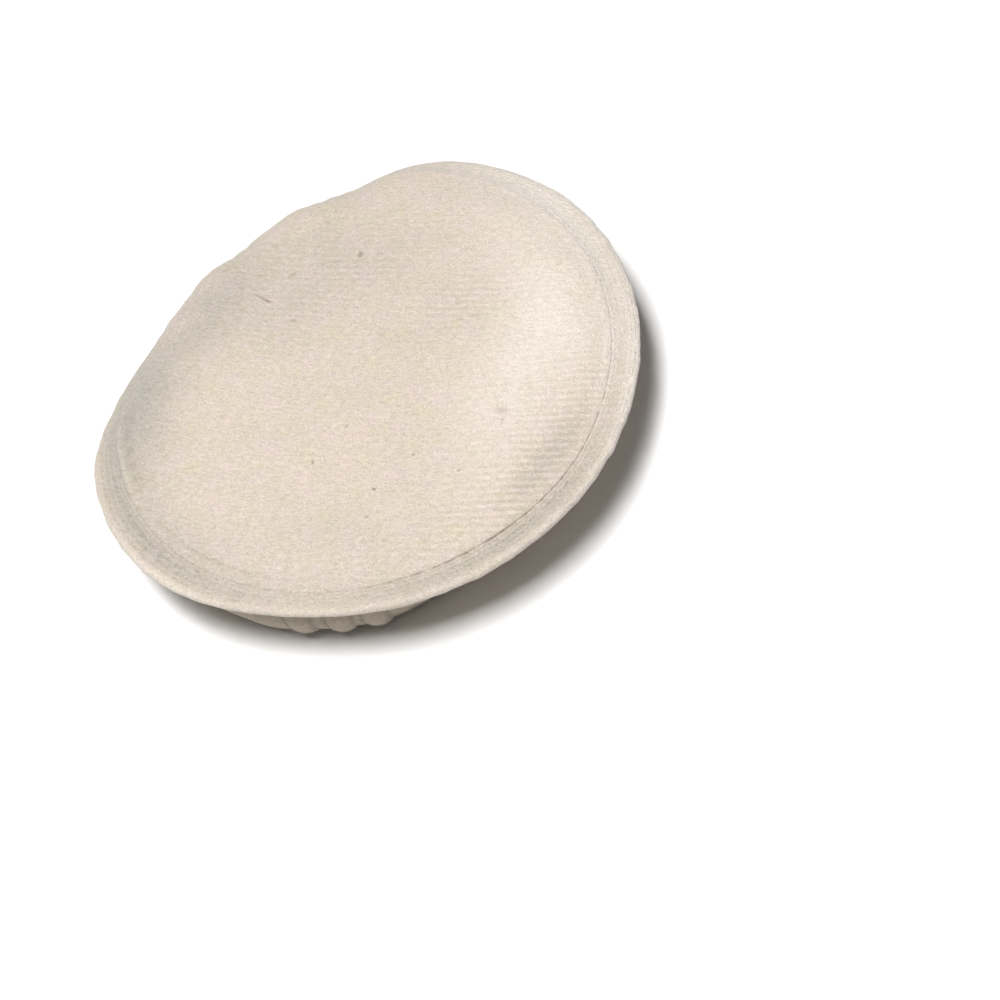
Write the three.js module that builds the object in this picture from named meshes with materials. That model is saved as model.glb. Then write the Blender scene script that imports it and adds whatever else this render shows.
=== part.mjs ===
import * as THREE from 'three';

// A wool pakol: a round crown that sags over a thick rolled band, lying on the band.
// Millimetres, +Z up, with the band's underside at z = 0. An azimuth is in degrees from +X towards +Y.

// Cloth layers
const crownThickness = 2.4;
const undersideThickness = 2;
const liningThickness = 1;
const weltDiameter = 5.6;
const pieceGap = 0.3;

// Crown, measured along the cloth from its centre
const crownRadius = 150;
const bendLead = 1.5;
const steadyShare = 0.94;
const undersideLap = 4;

// Rolled band
const rollRadius = 105.5;
const rollWidth = 47;
const rollHeight = 46;
const rollFlat = 20;
const rollShiftX = -5;
const rollShiftY = -1.5;
const rollOval = 8;

// Tucks sewn round the roll, in groups, with a plain join where one group would stand
const stationCount = 5;
const firstStation = 245.5;
const joinStation = 2;
const tucksPerGroup = 3;
const tuckSpacing = 15;
const tuckWidth = 3;
const tuckHeight = 2.2;
const joinWidth = 5;
const joinHeight = 1.2;

// Columns and rows of the meshes
const foldedFrom = 60;
const foldedTo = 165;
const foldedColumns = 35;
const plainColumns = 45;
const rollColumns = 60;
const liningColumns = 60;
const profileSteps = 90;
const weltSides = 8;

// How far the margin droops at its edge, in degrees, and how far it reaches, as a share of the flat cloth
const drapeTable = [
  { azimuth: 0, slope: 22, reach: 0.982 },
  { azimuth: 30, slope: 21, reach: 1.017 },
  { azimuth: 60, slope: 31, reach: 1.042 },
  { azimuth: 90, slope: 61, reach: 1.002 },
  { azimuth: 120, slope: 64, reach: 0.972 },
  { azimuth: 150, slope: 53, reach: 0.973 },
  { azimuth: 180, slope: 18, reach: 1.009 },
  { azimuth: 210, slope: 12, reach: 1.035 },
  { azimuth: 240, slope: 15, reach: 1.003 },
  { azimuth: 270, slope: 16, reach: 0.991 },
  { azimuth: 300, slope: 16, reach: 0.993 },
  { azimuth: 330, slope: 21, reach: 0.962 },
];

// Soft ridges and hollows of the margin. Width is in degrees, the rest are shares of the overhang
const foldTable = [
  { azimuth: 57, width: 12, at: 0.8, spread: 0.5, lift: 0.03 },
  { azimuth: 76, width: 6, at: 0.6, spread: 0.5, lift: -0.03 },
  { azimuth: 91, width: 8, at: 0.5, spread: 0.5, lift: 0.045 },
  { azimuth: 107, width: 6, at: 0.5, spread: 0.5, lift: -0.045 },
  { azimuth: 118, width: 6, at: 0.5, spread: 0.5, lift: 0.01 },
  { azimuth: 128, width: 5, at: 0.5, spread: 0.5, lift: -0.03 },
  { azimuth: 144, width: 9, at: 0.2, spread: 0.3, lift: -0.03 },
  { azimuth: 153, width: 7, at: 0.9, spread: 0.5, lift: 0.03 },
  { azimuth: 308, width: 14, at: 0.3, spread: 0.35, lift: -0.025 },
];

// Places worked out from the sizes
const rollMiddleHeight = rollHeight / 2;
const crownHeight = rollHeight + pieceGap + undersideThickness + pieceGap + crownThickness;
const layerStack = crownThickness + pieceGap + undersideThickness;
const bendStart = rollRadius - bendLead;
const overhang = crownRadius - bendStart;
const bendEnd = steadyShare * crownRadius;
const clothEnd = crownRadius - weltDiameter - pieceGap;
const flatAngle = Math.acos(rollFlat / rollWidth);
const rollLowerHeight = rollMiddleHeight / Math.sin(flatAngle);

const { degToRad, smoothstep, euclideanModulo } = THREE.MathUtils;

const woolCrown = new THREE.MeshStandardMaterial({ color: '#e6d9c8', roughness: 0.95, metalness: 0 });
const woolEdge = new THREE.MeshStandardMaterial({ color: '#dccfbf', roughness: 0.95, metalness: 0 });
const woolRoll = new THREE.MeshStandardMaterial({ color: '#e2d5c9', roughness: 0.95, metalness: 0 });
const cottonLining = new THREE.MeshStandardMaterial({ color: '#eee6e5', roughness: 0.85, metalness: 0 });

// A closed curve through the drape table, whose x is the slope and y the reach
const drapeCurve = new THREE.CatmullRomCurve3(
  drapeTable.map((row) => new THREE.Vector3(row.slope, row.reach, 0)),
  true,
  'catmullrom',
);

// Signed turn from one azimuth to another, between -180 and 180 degrees
function turnBetween(from, to) {
  return euclideanModulo(to - from + 180, 360) - 180;
}

// A soft bump that is 1 at zero and fades out past one
function bell(x) {
  return Math.exp(-x * x);
}

// Evenly spaced values, ends included
function steps(from, to, count) {
  return Array.from({ length: count + 1 }, (_, i) => from + ((to - from) * i) / count);
}

// Distance of the roll's middle line from the crown's centre
function rollMiddle(azimuth) {
  const angle = degToRad(azimuth);
  const shift = rollShiftX * Math.cos(angle) + rollShiftY * Math.sin(angle);
  return rollRadius + shift + rollOval * Math.sin(2 * angle);
}

// Height of the crown where it would rest on the roll, with the layers between them
function restHeight(azimuth, radius) {
  const clear = layerStack + pieceGap;
  const across = (radius - rollMiddle(azimuth)) / (rollWidth / 2 + clear);
  return rollMiddleHeight + (rollMiddleHeight + clear) * Math.sqrt(Math.max(0, 1 - across * across));
}

function foldLift(azimuth, along) {
  const share = (along - bendStart) / overhang;
  return foldTable.reduce((lift, fold) => {
    const sideways = bell(turnBetween(fold.azimuth, azimuth) / fold.width);
    const lengthwise = bell((share - fold.at) / fold.spread);
    return lift + overhang * fold.lift * sideways * lengthwise;
  }, 0);
}

// The crown's upper face at one azimuth, as radius and height at equal steps along the cloth
function crownProfile(azimuth) {
  const drape = drapeCurve.getPoint(euclideanModulo(azimuth, 360) / 360);
  const step = crownRadius / profileSteps;
  const free = [new THREE.Vector2(0, crownHeight)];
  for (let i = 0; i < profileSteps; i++) {
    const slope = degToRad(drape.x) * smoothstep((i + 0.5) * step, bendStart, bendEnd);
    const run = new THREE.Vector2(Math.cos(slope), -Math.sin(slope));
    free.push(free[i].clone().addScaledVector(run, step * drape.y));
  }
  return free.map((point, i) => {
    const height = point.y + foldLift(azimuth, i * step);
    return new THREE.Vector2(point.x, Math.max(height, restHeight(azimuth, point.x)));
  });
}

// A point at a distance along the cloth and a depth under its upper face
function clothPoint(profile, along, depth) {
  const place = (along / crownRadius) * profileSteps;
  const i = Math.min(Math.floor(place), profileSteps - 1);
  const point = profile[i].clone().lerp(profile[i + 1], place - i);
  const before = profile[Math.max(i - 1, 0)];
  const after = profile[Math.min(i + 2, profileSteps)];
  const run = after.clone().sub(before).normalize();
  return point.add(new THREE.Vector2(run.y, -run.x).multiplyScalar(depth));
}

// Distance along the cloth at which it reaches a radius
function alongAtRadius(profile, radius) {
  const i = profile.findIndex((point) => point.x > radius);
  const part = (radius - profile[i - 1].x) / (profile[i].x - profile[i - 1].x);
  return ((i - 1 + part) * crownRadius) / profileSteps;
}

// A lathe whose section changes with the azimuth
function turned(azimuths, sectionAt) {
  const geometry = new THREE.LatheGeometry(sectionAt(azimuths[0]), azimuths.length);
  const position = geometry.getAttribute('position');
  [...azimuths, azimuths[0]].forEach((azimuth, column) => {
    const angle = degToRad(azimuth);
    const section = sectionAt(azimuth);
    section.forEach((point, row) => {
      const index = column * section.length + row;
      position.setXYZ(index, point.x * Math.cos(angle), point.x * Math.sin(angle), point.y);
    });
  });
  geometry.computeVertexNormals();
  return geometry;
}

// Splits each face of a turned piece along its other diagonal, to lie evenly on the face under it
function splitOtherWay(geometry) {
  const index = geometry.getIndex();
  for (let i = 0; i < index.count; i += 6) {
    const [a, b, d, c] = [0, 1, 2, 3].map((corner) => index.getX(i + corner));
    [a, b, c, a, c, d].forEach((vertex, corner) => index.setX(i + corner, vertex));
  }
  return geometry;
}

// Azimuths of the crown's columns, closer together on its folded side
function crownAzimuths() {
  return [
    ...steps(foldedFrom, foldedTo, foldedColumns).slice(1),
    ...steps(foldedTo, foldedFrom + 360, plainColumns).slice(1),
  ];
}

// Rows of the overhanging margin, which both cloths share, from over the roll to the welt
function marginRows(azimuth, profile) {
  return steps(alongAtRadius(profile, rollMiddle(azimuth) - undersideLap), clothEnd, 6);
}

function crownTopGeometry() {
  return turned(crownAzimuths(), (azimuth) => {
    const profile = crownProfile(azimuth);
    const margin = marginRows(azimuth, profile);
    const rows = [0, margin[0] / 2, ...margin];
    const upper = rows.map((along) => clothPoint(profile, along, 0));
    const lower = rows.map((along) => clothPoint(profile, along, crownThickness));
    return [...lower, ...upper.reverse()];
  });
}

function crownUndersideGeometry() {
  const underside = turned(crownAzimuths(), (azimuth) => {
    const profile = crownProfile(azimuth);
    const rows = marginRows(azimuth, profile);
    const upper = rows.map((along) => clothPoint(profile, along, crownThickness + pieceGap));
    const lower = rows.map((along) => clothPoint(profile, along, layerStack));
    return [...lower, ...upper.reverse(), lower[0]];
  });
  return splitOtherWay(underside);
}

function edgeWeltGeometry() {
  const radius = weltDiameter / 2;
  return turned(crownAzimuths(), (azimuth) => {
    const profile = crownProfile(azimuth);
    return steps(0, 2 * Math.PI, weltSides).map((turn) => {
      const along = crownRadius - radius + radius * Math.cos(turn);
      const depth = layerStack / 2 - radius * Math.sin(turn);
      return clothPoint(profile, along, depth);
    });
  });
}

// Azimuths and sizes of the raised tucks and of the join
function raisedSeams() {
  const spacing = THREE.MathUtils.radToDeg(tuckSpacing / rollRadius);
  const seams = [];
  for (let station = 0; station < stationCount; station++) {
    const middle = firstStation + (station * 360) / stationCount;
    if (station === joinStation) {
      seams.push({ azimuth: middle, width: joinWidth, height: joinHeight });
      continue;
    }
    for (let tuck = 0; tuck < tucksPerGroup; tuck++) {
      const azimuth = middle + (tuck - (tucksPerGroup - 1) / 2) * spacing;
      seams.push({ azimuth, width: tuckWidth, height: tuckHeight });
    }
  }
  return seams;
}

const seams = raisedSeams();

// How far the seams stand out of the roll at an azimuth
function seamRise(azimuth) {
  return seams.reduce((rise, seam) => {
    const across = degToRad(turnBetween(seam.azimuth, azimuth)) * rollMiddle(azimuth);
    const share = THREE.MathUtils.clamp((2 * across) / seam.width, -1, 1);
    return rise + seam.height * Math.cos((share * Math.PI) / 2) ** 2;
  }, 0);
}

// Seams are flattened where the crown lies on the roll and where the lining covers it
function seamShow(turn) {
  const outside = 1 - smoothstep(turn, degToRad(25), degToRad(70));
  const inside = smoothstep(turn, degToRad(190), degToRad(215));
  return turn < Math.PI ? outside : inside;
}

// A point of the roll's surface, with a turn round its section from the outer side over the top
function rollPoint(azimuth, turn, out) {
  const half = turn > Math.PI ? rollLowerHeight : rollMiddleHeight;
  const radius = rollMiddle(azimuth) + (rollWidth / 2 + out) * Math.cos(turn);
  const height = rollMiddleHeight + (half + out) * Math.sin(turn);
  return new THREE.Vector2(radius, Math.max(0, height));
}

function rolledBandGeometry() {
  const plain = steps(0, 360, rollColumns).slice(0, -1);
  const close = [-1, -0.45, 0, 0.45, 1];
  const atSeams = seams.flatMap((seam) => {
    const half = THREE.MathUtils.radToDeg(seam.width / 2 / rollRadius);
    return close.map((share) => euclideanModulo(seam.azimuth + share * half, 360));
  });
  const spare = plain.filter((azimuth) => {
    return atSeams.every((seam) => Math.abs(turnBetween(seam, azimuth)) > 1.5);
  });
  const azimuths = [...spare, ...atSeams].sort((a, b) => a - b);
  const turns = [
    ...steps(0, Math.PI, 8),
    ...steps(Math.PI, Math.PI + flatAngle, 3).slice(1),
    Math.PI * 1.5,
    ...steps(2 * Math.PI - flatAngle, 2 * Math.PI, 3),
  ];
  return turned(azimuths, (azimuth) => {
    const rise = seamRise(azimuth);
    return turns.map((turn) => rollPoint(azimuth, turn, rise * seamShow(turn)));
  });
}

function liningGeometry() {
  const top = crownHeight - crownThickness - pieceGap;
  const turns = steps(degToRad(180), degToRad(130), 4);
  return turned(steps(0, 360, liningColumns).slice(0, -1), (azimuth) => {
    const face = (out, height) => {
      const wall = turns.map((turn) => rollPoint(azimuth, turn, out));
      const corner = new THREE.Vector2(wall[wall.length - 1].x, height);
      return [...wall, corner, new THREE.Vector2(0, height)];
    };
    const outer = face(pieceGap, top);
    const inner = face(pieceGap + liningThickness, top - liningThickness);
    return [...inner.reverse(), ...outer];
  });
}

// Builds the hat with the middle of its outline over the origin
function buildPakol() {
  const parts = [
    ['crown_top', crownTopGeometry(), woolCrown],
    ['edge_welt', edgeWeltGeometry(), woolEdge],
    ['crown_underside', crownUndersideGeometry(), woolCrown],
    ['rolled_band', rolledBandGeometry(), woolRoll],
    ['lining', liningGeometry(), cottonLining],
  ];
  const pakol = new THREE.Group();
  for (const [name, geometry, material] of parts) {
    const mesh = new THREE.Mesh(geometry, material);
    mesh.name = name;
    pakol.add(mesh);
  }
  const middle = new THREE.Box3().setFromObject(pakol).getCenter(new THREE.Vector3());
  pakol.position.set(-middle.x, -middle.y, 0);
  return pakol;
}

const group = buildPakol();

export default group;
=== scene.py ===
"""A cream wool pakol lying on a pale floor, dressed over its solid model. Made in metres."""

import math

import bmesh
import bpy
import numpy as np
from bpy.props import FloatProperty, FloatVectorProperty, IntProperty, PointerProperty
from mathutils import Matrix, Vector


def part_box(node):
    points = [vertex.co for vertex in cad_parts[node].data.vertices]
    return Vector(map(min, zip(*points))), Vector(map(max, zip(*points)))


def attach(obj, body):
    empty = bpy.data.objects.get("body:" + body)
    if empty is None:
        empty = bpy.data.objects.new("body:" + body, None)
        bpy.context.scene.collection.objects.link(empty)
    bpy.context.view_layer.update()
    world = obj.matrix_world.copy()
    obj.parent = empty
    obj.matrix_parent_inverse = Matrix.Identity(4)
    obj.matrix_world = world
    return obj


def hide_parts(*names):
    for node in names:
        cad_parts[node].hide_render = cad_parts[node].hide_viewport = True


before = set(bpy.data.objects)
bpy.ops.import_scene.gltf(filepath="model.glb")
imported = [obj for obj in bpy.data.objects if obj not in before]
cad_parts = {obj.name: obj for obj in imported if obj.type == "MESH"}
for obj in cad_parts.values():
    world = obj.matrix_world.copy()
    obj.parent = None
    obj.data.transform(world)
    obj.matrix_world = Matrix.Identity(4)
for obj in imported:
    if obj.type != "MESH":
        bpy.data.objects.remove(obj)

bl_info = {
    "name": "Pakol",
    "version": (1, 0, 0),
    "blender": (4, 5, 0),
    "location": "3D View > Sidebar > Pakol",
    "description": "A soft wool hat with a stitched round crown over a thick rolled band",
    "category": "Add Mesh",
}


def table(columns, *rows):
    """A table's rows, with each value under the name of its column."""
    return [dict(zip(columns.split(), row)) for row in rows]


MM = 0.001
BAND_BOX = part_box("rolled_band")
EDGE_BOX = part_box("edge_welt")

# The roll's middle line, in metres: how far it is shifted east and north from the crown's centre, and how
# much it is drawn out to the north-east and the south-west
ROLL_SHIFT = (-0.005, -0.0015)
ROLL_OVAL = 0.008

# Where the roll is pressed in: azimuth and width in degrees, depth in millimetres
ROLL_DENT = dict(azimuth=275, width=15, deep=4.5)

# Groups of tucks stand at equal turns round the roll, in degrees, but one place has the cloth's plain join
SEAM_STATIONS = [245.5, 317.5, 29.5, 101.5, 173.5]
PLAIN_JOIN = 29.5
JOIN_WIDTH = 5 * MM
JOIN_HEIGHT = 1.2 * MM

# The twill's ribs on the crown, the edge and the roll: their turn in degrees, and how far they bow, in
# metres to the side at a metre along
CROWN_RIBS = (30.6, -0.87)
EDGE_RIBS = (50, 0.0)
ROLL_RIBS = (40, 0.0)

# Degrees from one column of points on the crown to the next, and how far its cloths run into the edge
CLOTH_STEP = 0.75
TUCK_IN = 2.7 * MM

# Rows of points round the edge's section and the roll's
EDGE_ROWS = 20
ROLL_ROWS = 90

# Loose fibres start above this height, clear of the floor
FIBRES_FROM = 3.2 * MM

# Points that are nearer to each other than this are one point
SAME_PLACE = 0.002 * MM

# The camera and the point that it faces, in millimetres from the crown's centre on the floor, and its lean
# to the side in degrees
EYE = (4.49, -686.10, 836.36)
AIM = (39.22, -110.24, 45.0)
LEAN = -18.93

# Rows of stitching on the margin, as shares of the way from the seam to the edge
STITCH_ROWS = (0.12, 0.30, 0.48, 0.66)

# How far the margin droops at its edge, in degrees, and how far it reaches, as a share of the flat cloth
DRAPE = table(
    "azimuth slope reach",
    (0, 22, 1.001),
    (30, 21, 1.036),
    (60, 31, 1.050),
    (90, 61, 1.000),
    (120, 64, 0.966),
    (150, 53, 0.971),
    (180, 18, 1.016),
    (210, 12, 1.037),
    (240, 15, 0.993),
    (270, 16, 0.987),
    (300, 16, 0.982),
    (330, 21, 0.977),
)

# The sewn margin: millimetres from the seam to the edge, how deep its seam and its stitched rows are pulled,
# which also sets how dark their painted shade is, how much painted shade greys the hollow outside the seam,
# how much lighter the margin is painted, with painted light on the right and painted shade where the share is
# negative, and how bright the painted highlight on its outer rim is, as shares
MARGIN = table(
    "azimuth width seam pulled greyed light rim",
    (0, 16.6, 0.45, 0.1, 0.1, 0.10, 0.0),
    (30, 17.0, 0.5, 0.1, 0.05, 0.14, 0.0),
    (60, 15.5, 0.5, 0.2, 0.2, 0.05, 0.0),
    (90, 15.5, 0.5, 0.5, 0.4, 0.0, 0.0),
    (120, 15.5, 0.5, 0.5, 0.5, 0.0, 0.0),
    (150, 15.5, 0.5, 0.7, 0.5, -0.03, 0.0),
    (180, 16.5, 0.6, 1.2, 0.7, -0.03, 0.06),
    (210, 16.2, 0.7, 1.3, 0.8, 0.01, 0.15),
    (240, 11.5, 0.35, 0.3, 0.2, -0.03, 0.10),
    (270, 13.2, 1.1, 0.8, 1.4, -0.01, 0.10),
    (300, 13.3, 1.0, 0.6, 1.9, 0.04, 0.10),
    (330, 15.0, 0.6, 0.15, 1.2, 0.15, 0.05),
)

# Soft ridges and hollows of the margin. Width is in degrees, the rest are shares of the overhang
FOLDS = table(
    "azimuth width at spread lift",
    (57, 12, 0.8, 0.5, 0.03),
    (76, 6, 0.6, 0.5, -0.03),
    (91, 8, 0.5, 0.5, 0.045),
    (107, 6, 0.5, 0.5, -0.045),
    (118, 6, 0.5, 0.5, 0.01),
    (128, 5, 0.5, 0.5, -0.03),
    (144, 9, 0.2, 0.3, -0.03),
    (153, 7, 0.9, 0.5, 0.03),
    (308, 14, 0.3, 0.35, -0.025),
)

# Creases beside the seam. Width is in degrees, and how far inside the seam they lie, how far they spread and
# how far they lift are in millimetres. A raised crease gets a painted highlight and a sunk one painted shade
CREASES = table(
    "azimuth width at spread lift",
    (175, 16, 2.7, 1.1, 0.8),
    (178, 12, 7.4, 2.6, -0.4),
    (218, 17, 6.2, 0.7, -0.55),
    (196, 10, -4.0, 0.7, -0.5),
    (289, 12, 7.0, 1.6, 0.3),
)

# Spots on the crown: place and size in millimetres from its centre, turn in degrees, strength from 0 to 1
SPOTS = table(
    "x y long wide turn strength",
    (-37.0, 71.2, 12.0, 1.8, -59, 0.5),
    (-34.9, 68.0, 5.5, 1.7, -59, 0.5),
    (21.2, 70.5, 5.4, 3.0, 71, 0.55),
    (-25.2, 45.9, 4.4, 2.2, -50, 0.42),
    (-16.4, 77.8, 5.4, 2.8, 0, 0.35),
    (58.6, -65.0, 9.0, 5.6, -40, 0.27),
    (57.1, -70.8, 2.0, 1.8, 0, 0.38),
    (64.9, 1.6, 8.0, 1.6, -8, 0.28),
    (57.0, 3.0, 5.0, 1.6, -45, 0.22),
    (8.1, 72.7, 5.0, 1.3, -29, 0.3),
    (1.0, 75.3, 4.0, 1.4, -55, 0.25),
    (-46.5, 84.9, 5.0, 1.6, -40, 0.25),
    (-40.0, -49.1, 3.2, 1.6, 71, 0.5),
    (-16.5, -80.9, 2.2, 2.0, 0, 0.8),
    (-18.0, -37.2, 2.4, 1.6, 30, 0.5),
    (-24.8, -95.4, 2.2, 1.8, 0, 0.45),
    (8.2, -69.0, 2.2, 1.5, -20, 0.55),
    (26.3, -90.1, 2.2, 1.6, 10, 0.5),
)

# Broad patches of the crown's wool: place and size in millimetres, turn in degrees. light is how much lighter
# or darker the cloth is painted there, as a share: painted light on the right, painted shade on the left and
# in dips.
# ribs is how far its ribs show, from 0 to 1
PATCHES = table(
    "x y long wide turn light ribs",
    (72, -48, 116, 54, 55, 0.14, 0.2),
    (110, 6, 160, 58, 95, 0.13, 0.1),
    (-66, 77, 92, 42, 42, -0.17, 0.1),
    (-118, 28, 96, 40, 80, -0.24, 0.0),
    (-116, -70, 110, 34, -60, -0.13, 0.0),
    (-60, -122, 80, 26, -24, -0.05, 0.0),
    (-7, 75, 90, 50, 5, -0.07, 0.35),
    (-26, 46, 56, 40, 10, -0.06, 0.3),
    (29, 55, 50, 40, 0, -0.04, 0.3),
    (70, -103, 72, 17, 36, -0.15, 0.5),
    (62, 14, 60, 32, 0, -0.02, 0.6),
    (70, 93, 70, 36, -37, 0.03, 0.0),
    (-120, -30, 60, 24, -77, -0.03, 0.0),
    (-40, -100, 120, 36, -34, -0.04, 0.0),
    (-8, 98, 70, 24, 5, -0.03, 0.0),
    (-130, 9, 50, 14, 86, -0.04, 0.0),
    (66, -100, 90, 30, 34, 0.0, 0.9),
    (106, -64, 44, 26, 58, 0.0, 0.6),
    (14, -118, 80, 24, 8, 0.0, 0.5),
)


def linear(hex_colour):
    """Linear red, green and blue of an sRGB hex colour."""
    values = [int(hex_colour[i : i + 2], 16) / 255 for i in (1, 3, 5)]
    return [v / 12.92 if v <= 0.04045 else ((v + 0.055) / 1.055) ** 2.4 for v in values]


def length(name, description, default):
    """A length that a user may change."""
    return FloatProperty(name=name, description=description, default=default, unit="LENGTH", precision=5)


def colour(name, description, hex_colour):
    """A colour that a user may change."""
    kind = dict(subtype="COLOR", size=3, min=0, max=1, default=linear(hex_colour))
    return FloatVectorProperty(name=name, description=description, **kind)


class PakolSizes(bpy.types.PropertyGroup):
    """The hat's sizes."""

    crown_radius: length("Crown radius", "From the crown's centre to its edge, along the cloth", 0.150)
    crown_thickness: length("Crown thickness", "Thickness of the crown's cloth", 0.0024)
    underside_thickness: length("Underside thickness", "Thickness of the cloth under the margin", 0.002)
    lining_thickness: length("Lining thickness", "Thickness of the cotton lining", 0.001)
    edge_diameter: length("Edge diameter", "Thickness of the rounded edge", 0.0056)
    gap: length("Gap", "Room between the layers of cloth", 0.0003)
    roll_radius: length("Roll radius", "From the crown's centre to the middle of the roll", 0.1055)
    roll_width: length("Roll width", "Width of the roll seen from above", 0.047)
    roll_height: length("Roll height", "Height of the roll as it lies", BAND_BOX[1].z)
    roll_flat: length("Roll flat", "Width of the strip that the roll rests on", 0.020)
    tuck_width: length("Tuck width", "Width of a tuck sewn round the roll", 0.003)
    tuck_height: length("Tuck height", "How far a tuck stands out of the roll", 0.0022)
    tuck_spacing: length("Tuck spacing", "Between the tucks of a group", 0.015)
    stitch_pitch: length("Stitch pitch", "From one machine stitch to the next", 0.0034)
    thread_diameter: length("Thread diameter", "Thickness of the sewing thread", 0.00045)
    twill_pitch: length("Twill pitch", "Between the ribs of the wool twill", 0.0043)
    fuzz_length: length("Fuzz length", "Length of the loose wool fibres", 0.0022)
    fuzz_thickness: length("Fuzz thickness", "Thickness of the loose wool fibres", 0.00007)
    fuzz_count: IntProperty(name="Fuzz count", description="Loose fibres on the hat", default=9000, min=0)


class PakolColours(bpy.types.PropertyGroup):
    """The hat's colours."""

    wool_warm: colour("Warm wool", "The yellower tone of the undyed wool", "#d1c6b0")
    wool_rose: colour("Rose wool", "The pinker tone of the undyed wool", "#d3c2ba")
    # Also the colour laid for painted shade on the crown and its edge, and for the margin's faded wool
    wool_grey: colour("Greyed wool", "Wool greyed by dirt and handling", "#c8c2b6")
    # The colour laid for painted shade on the roll's outer side, under the margin
    wool_roll_shade: colour("Browned wool", "The roll's wool where hands have browned it", "#b7a88f")
    # The colour laid where light is painted on the crown and its edge
    wool_painted_light: colour("Clean wool", "Wool that has stayed clean", "#d5cdc4")
    # Also the colour laid for painted shade in the crown's seam groove, creases and stitched rows and beside
    # the roll's tucks
    spot: colour("Spots", "Dark specks and smudges on the crown", "#7b6c5e")
    cotton: colour("Cotton", "The white lining", "#d8d2ce")
    thread: colour("Thread", "The sewing thread", "#cabfab")
    floor: colour("Floor", "The pale floor", "#ffffff")


def smooth_share(x, start, end):
    """0 before start, 1 after end, and smooth in between."""
    t = np.clip((x - start) / (end - start), 0, 1)
    return t * t * (3 - 2 * t)


def bell(x):
    """A soft bump that is 1 at zero and fades out past one."""
    return np.exp(-np.square(x))


def band(place, middle, spread):
    """A soft band that is 1 at its middle. Its middle and its spread are in millimetres."""
    return bell((place - middle * MM) / (spread * MM))


def turn_between(start, end):
    """Signed turn from one azimuth to another, between -180 and 180 degrees."""
    return (end - start + 180) % 360 - 180


def round_table(table, column, azimuth):
    """A column's value at each azimuth, on a smooth closed curve through the table's rows."""
    values = np.array([row[column] for row in table], float)
    place = (azimuth % 360) / 360 * len(values)
    first = np.floor(place).astype(int)
    t = place - first
    a, b, c, d = (values[(first + k) % len(values)] for k in (-1, 0, 1, 2))
    return b + 0.5 * ((c - a) * t + (2 * a - 5 * b + 4 * c - d) * t**2 + (3 * b - a - 3 * c + d) * t**3)


def ridges(rows, azimuth, across):
    """Height of a table's soft ridges and hollows, at an azimuth and a place across them."""
    lift = 0
    for row in rows:
        sideways = bell(turn_between(row["azimuth"], azimuth) / row["width"])
        lift = lift + row["lift"] * sideways * bell((across - row["at"]) / row["spread"])
    return lift


def ripple(wave, *place, seed):
    """Soft seeded unevenness over two or three coordinates, with crests about one wave apart."""
    random = np.random.default_rng(seed)
    waves = 12
    total = 0
    for _ in range(waves):
        way = random.normal(size=len(place))
        way /= np.linalg.norm(way)
        phase = random.uniform(0, 2 * math.pi)
        across = sum(share * part for share, part in zip(way, place))
        total = total + np.cos(2 * math.pi * across / (wave * random.uniform(0.75, 1.4)) + phase)
    return total / math.sqrt(waves / 2)


def round_place(azimuth, radius):
    """East and north of points at an azimuth and a distance from the crown's centre."""
    return radius * np.cos(np.radians(azimuth)), radius * np.sin(np.radians(azimuth))


def patch_sum(column, azimuth, along):
    """A column of the patches, summed over the cloth with soft edges."""
    x, y = round_place(azimuth, along)
    total = 0
    for patch in PATCHES:
        turn = math.radians(patch["turn"])
        east, north = x - patch["x"] * MM, y - patch["y"] * MM
        over = 2 * (east * math.cos(turn) + north * math.sin(turn)) / (patch["long"] * MM)
        across = 2 * (north * math.cos(turn) - east * math.sin(turn)) / (patch["wide"] * MM)
        total = total + patch[column] * bell(np.hypot(over, across))
    return total


def cloth_light_and_shade(shape, azimuth, along):
    """How much lighter or darker the crown's wool is painted, as a share: painted light and shade by patches
    and by side, a painted highlight on its outer rim and on raised creases, and painted shade in the hollow
    outside the seam.
    """
    from_seam = along - shape.seam(azimuth)
    # Painted shade in the hollow just outside the seam
    hollow_shade = band(from_seam, 5.6, 4.8) * round_table(MARGIN, "greyed", azimuth)
    # Painted light on the margin's right side and painted shade on its left
    sewn = round_table(MARGIN, "light", azimuth) * smooth_share(from_seam, -8 * MM, 2 * MM)
    # Painted highlight along the outer rim
    rim = smooth_share(along, shape.edge - 7 * MM, shape.edge - 2 * MM)
    rim = rim * round_table(MARGIN, "rim", azimuth)
    # Painted highlight on raised creases
    crease_highlight = np.maximum(0, crease_lift(shape, azimuth, along)) / MM
    return patch_sum("light", azimuth, along) + sewn + rim + 0.12 * crease_highlight - 0.12 * hollow_shade


def stitched(shape, azimuth, along, wide):
    """1 along the middle of each row of stitching, fading out over a width in millimetres."""
    return sum(band(along - shape.row(azimuth, share), 0, wide) for share in STITCH_ROWS)


def painted_groove_shade(shape, azimuth, along):
    """How much painted shade darkens the crown's seam groove, its sunk creases and its stitched rows, from 0
    to 1.
    """
    ring = round_place(azimuth, shape.edge)
    broken = 1 + 0.3 * ripple(9 * MM, *ring, seed=6) + 0.3 * ripple(3 * MM, *ring, seed=9)
    seam = round_table(MARGIN, "seam", azimuth) * band(along - shape.seam(azimuth), -0.15, 0.5)
    creased = np.maximum(0, -crease_lift(shape, azimuth, along)) / MM
    rows = round_table(MARGIN, "pulled", azimuth) * stitched(shape, azimuth, along, 0.6)
    return np.clip((0.28 * seam + 0.4 * creased + 0.14 * rows) * broken, 0, 1)


def margin_fade(shape, azimuth, along):
    """How far the sewn margin has lost the wool's yellow, from 0 to 1."""
    return 0.3 * smooth_share(along, shape.seam(azimuth) - 4 * MM, shape.seam(azimuth) + 4 * MM)


def rib_show(azimuth, along):
    """How far the ribs show through the crown's nap, from 0 to 1."""
    return np.clip(patch_sum("ribs", azimuth, along), 0, 1)


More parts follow.
